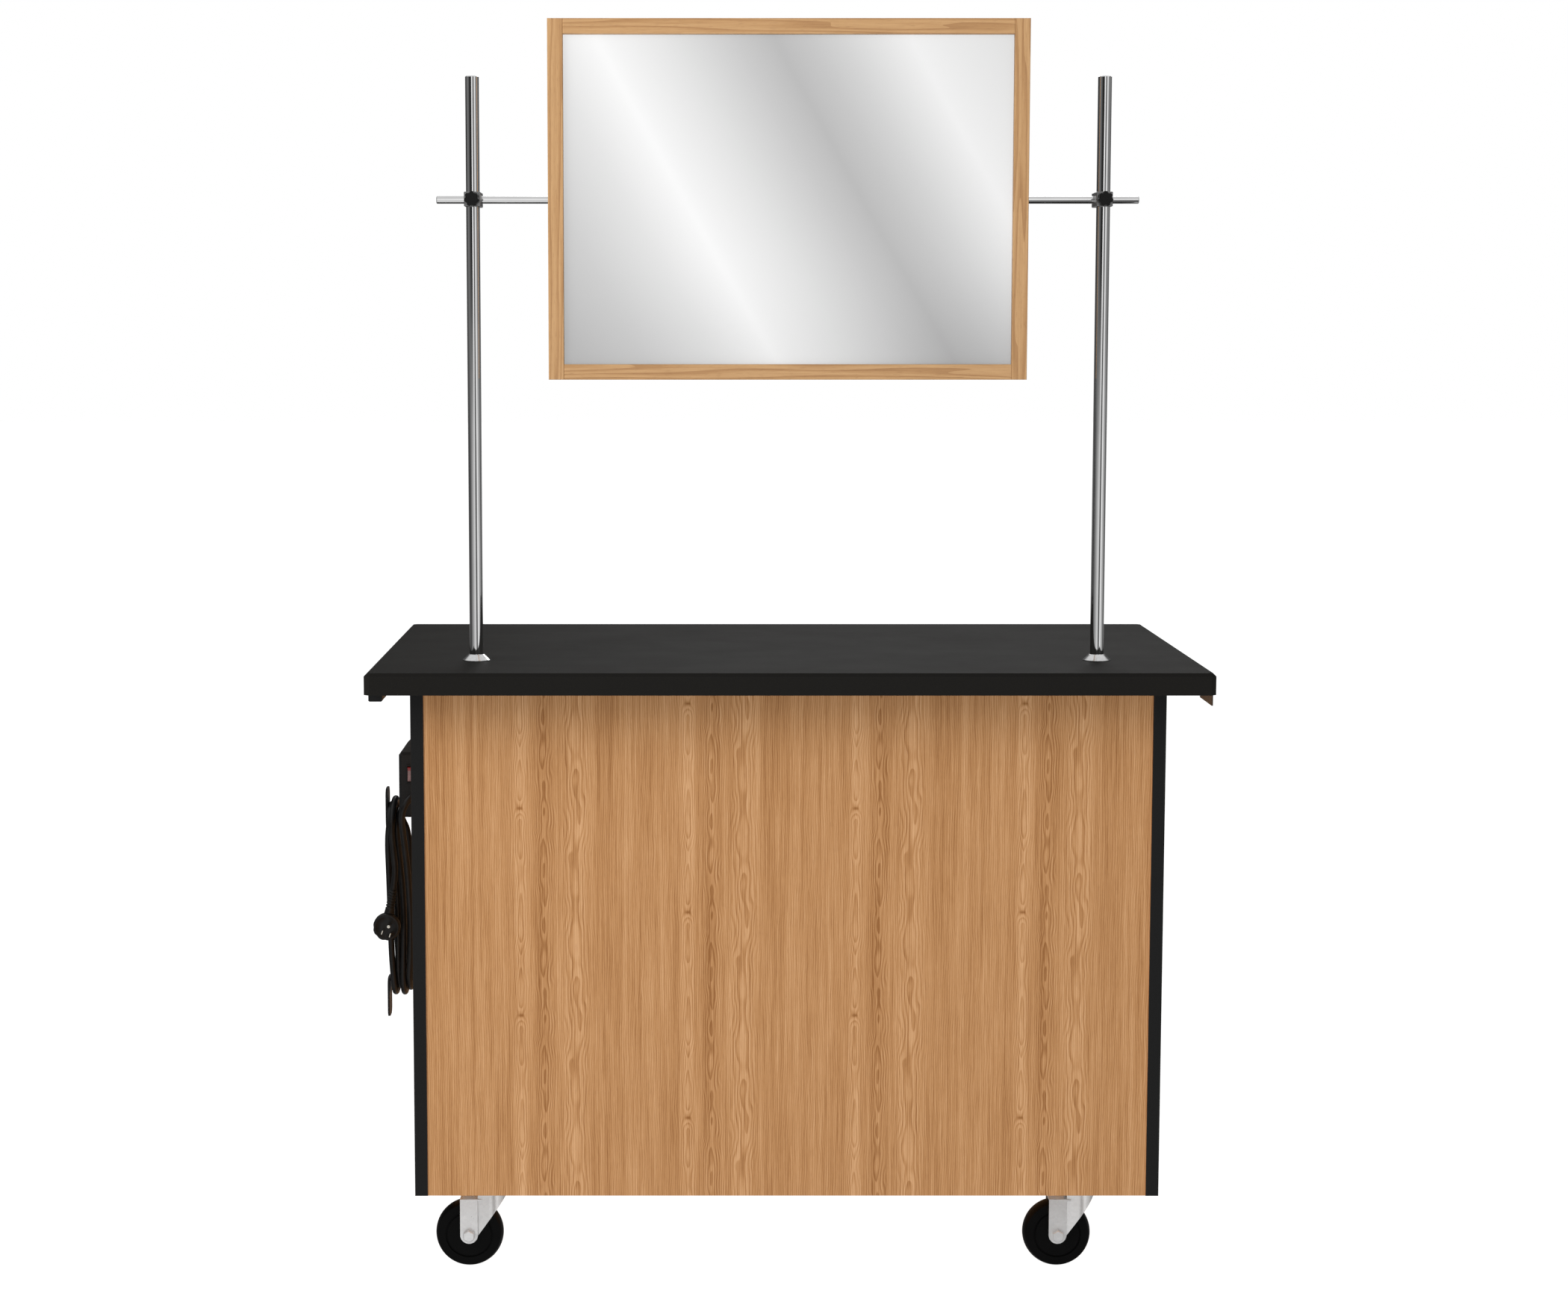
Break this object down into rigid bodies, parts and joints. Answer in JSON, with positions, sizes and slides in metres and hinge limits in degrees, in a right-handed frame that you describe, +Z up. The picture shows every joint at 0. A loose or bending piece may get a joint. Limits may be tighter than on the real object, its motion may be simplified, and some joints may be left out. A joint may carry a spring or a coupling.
{
  "type": "mobile demonstration bench with overhead mirror",
  "caption": "Mobile classroom demonstration bench: oak cabinet on swivel casters, dark worktop, tilting overhead mirror on steel uprights, side power outlet with wound cord.",
  "frame": {"origin": "on the floor under the middle of the worktop", "axes": "+Z up, -Y towards the audience, +Y towards the teacher and the doors, +X to the audience's right"},
  "size_m": [1.24, 0.7112, 1.8504],
  "materials": {
    "worktop_laminate": "matt charcoal high-pressure laminate with a bevelled edge",
    "oak_laminate": "satin oak-pattern laminate with a vertical cathedral grain and black edging",
    "mirror_oak": "clear-lacquered light oak",
    "mirror_silver": "silvered glass",
    "hardboard": "plain brown hardboard",
    "polished_rod": "polished steel tube",
    "flange_chrome": "bright chrome",
    "cast_clamp": "grey die casting",
    "knob_plastic": "dark moulded plastic",
    "zinc_steel": "bright zinc plate",
    "wheel_black": "black solid wheel, satin",
    "box_paint": "dark grey powder coat",
    "cover_plate": "brushed stainless plate",
    "outlet_plastic": "ivory moulded plastic",
    "black_plastic": "black moulded plastic",
    "rocker_red": "dark red translucent moulding",
    "cord_rubber": "black vinyl jacket",
    "plug_brass": "bright brass",
    "trim_brown": "dark brown stained block"
  },
  "bodies": {
    "cabinet": {"audience_panel": "oak_laminate", "bottom_panel": "oak_laminate", "caster_bolts": "zinc_steel", "caster_plates": "zinc_steel", "cleat_screws": "zinc_steel", "cord_cleats": "black_plastic", "cord_gland": "black_plastic", "cord_hank": "cord_rubber", "cord_lead": "cord_rubber", "cord_tail": "cord_rubber", "duplex_outlet": "outlet_plastic", "hinge_frame_leaves": "zinc_steel", "hinge_pins": "zinc_steel", "left_end_block": "trim_brown", "left_side_panel": "oak_laminate", "outlet_cover": "cover_plate", "plug_body": "cord_rubber", "plug_prongs": "plug_brass", "plug_strain_relief": "cord_rubber", "power_box": "box_paint", "right_end_plate": "trim_brown", "right_side_panel": "oak_laminate", "rod_sockets": "flange_chrome", "shelf": "oak_laminate", "shelf_pins": "zinc_steel", "socket_nuts": "zinc_steel", "switch_bezel": "black_plastic", "top_rails": "oak_laminate", "uprights": "polished_rod", "worktop": "worktop_laminate"},
    "left_door": {"left_door": "oak_laminate", "left_hinge_leaves": "zinc_steel", "left_pull": "zinc_steel"},
    "right_door": {"right_door": "oak_laminate", "right_hinge_leaves": "zinc_steel", "right_pull": "zinc_steel"},
    "door_lock": {"door_lock": "zinc_steel"},
    "mirror_carriage": {"rod_clamps": "cast_clamp", "clamp_grub_screws": "zinc_steel", "cross_rod": "polished_rod"},
    "mirror": {"mirror_stiles": "mirror_oak", "mirror_rails": "mirror_oak", "mirror_glass": "mirror_silver", "mirror_backing": "hardboard", "mirror_clips": "cast_clamp"},
    "left_thumbscrew": {"left_thumbscrew": "knob_plastic"},
    "right_thumbscrew": {"right_thumbscrew": "knob_plastic"},
    "rocker": {"rocker": "rocker_red"},
    "front_left_swivel": {"front_left_fork": "zinc_steel", "front_left_axle": "zinc_steel"},
    "front_left_wheel": {"front_left_wheel": "wheel_black"},
    "front_right_swivel": {"front_right_fork": "zinc_steel", "front_right_axle": "zinc_steel"},
    "front_right_wheel": {"front_right_wheel": "wheel_black"},
    "rear_left_swivel": {"rear_left_fork": "zinc_steel", "rear_left_axle": "zinc_steel"},
    "rear_left_wheel": {"rear_left_wheel": "wheel_black"},
    "rear_right_swivel": {"rear_right_fork": "zinc_steel", "rear_right_axle": "zinc_steel"},
    "rear_right_wheel": {"rear_right_wheel": "wheel_black"}
  },
  "joints": [
    {"name": "left_door_hinge", "type": "hinge", "parent": "cabinet", "child": "left_door", "pos_m": [-0.53, 0.2822, 0.504], "axis": [0, 0, 1], "range_deg": [0, 170]},
    {"name": "right_door_hinge", "type": "hinge", "parent": "cabinet", "child": "right_door", "pos_m": [0.53, 0.2822, 0.504], "axis": [0, 0, -1], "range_deg": [0, 170]},
    {"name": "lock_turn", "type": "hinge", "parent": "right_door", "child": "door_lock", "pos_m": [0.045, 0.2778, 0.806], "axis": [0, 1, 0], "range_deg": [0, 180]},
    {"name": "mirror_height", "type": "slide", "parent": "cabinet", "child": "mirror_carriage", "axis": [0, 0, 1], "range_m": [-0.39, 0.16]},
    {"name": "mirror_tilt", "type": "hinge", "parent": "mirror_carriage", "child": "mirror", "pos_m": [0, -0.166, 1.5913], "axis": [1, 0, 0], "range_deg": [-30, 90]},
    {"name": "left_thumbscrew_turn", "type": "hinge", "parent": "mirror_carriage", "child": "left_thumbscrew", "pos_m": [-0.46, -0.204, 1.5913], "axis": [0, 1, 0], "continuous": true},
    {"name": "right_thumbscrew_turn", "type": "hinge", "parent": "mirror_carriage", "child": "right_thumbscrew", "pos_m": [0.46, -0.204, 1.5913], "axis": [0, 1, 0], "continuous": true},
    {"name": "rocker_press", "type": "hinge", "parent": "cabinet", "child": "rocker", "pos_m": [-0.5695, -0.072, 0.7272], "axis": [1, 0, 0], "range_deg": [-7, 7]},
    {"name": "front_left_swivel_turn", "type": "hinge", "parent": "cabinet", "child": "front_left_swivel", "pos_m": [-0.4416, -0.208, 0.118], "axis": [0, 0, 1], "continuous": true},
    {"name": "front_left_wheel_roll", "type": "hinge", "parent": "front_left_swivel", "child": "front_left_wheel", "pos_m": [-0.475, -0.208, 0.0508], "axis": [0, 1, 0], "continuous": true},
    {"name": "front_right_swivel_turn", "type": "hinge", "parent": "cabinet", "child": "front_right_swivel", "pos_m": [0.4416, -0.208, 0.118], "axis": [0, 0, 1], "continuous": true},
    {"name": "front_right_wheel_roll", "type": "hinge", "parent": "front_right_swivel", "child": "front_right_wheel", "pos_m": [0.4082, -0.208, 0.0508], "axis": [0, 1, 0], "continuous": true},
    {"name": "rear_left_swivel_turn", "type": "hinge", "parent": "cabinet", "child": "rear_left_swivel", "pos_m": [-0.4416, 0.208, 0.118], "axis": [0, 0, 1], "continuous": true},
    {"name": "rear_left_wheel_roll", "type": "hinge", "parent": "rear_left_swivel", "child": "rear_left_wheel", "pos_m": [-0.475, 0.208, 0.0508], "axis": [0, 1, 0], "continuous": true},
    {"name": "rear_right_swivel_turn", "type": "hinge", "parent": "cabinet", "child": "rear_right_swivel", "pos_m": [0.4416, 0.208, 0.118], "axis": [0, 0, 1], "continuous": true},
    {"name": "rear_right_wheel_roll", "type": "hinge", "parent": "rear_right_swivel", "child": "rear_right_wheel", "pos_m": [0.4082, 0.208, 0.0508], "axis": [0, 1, 0], "continuous": true}
  ]
}
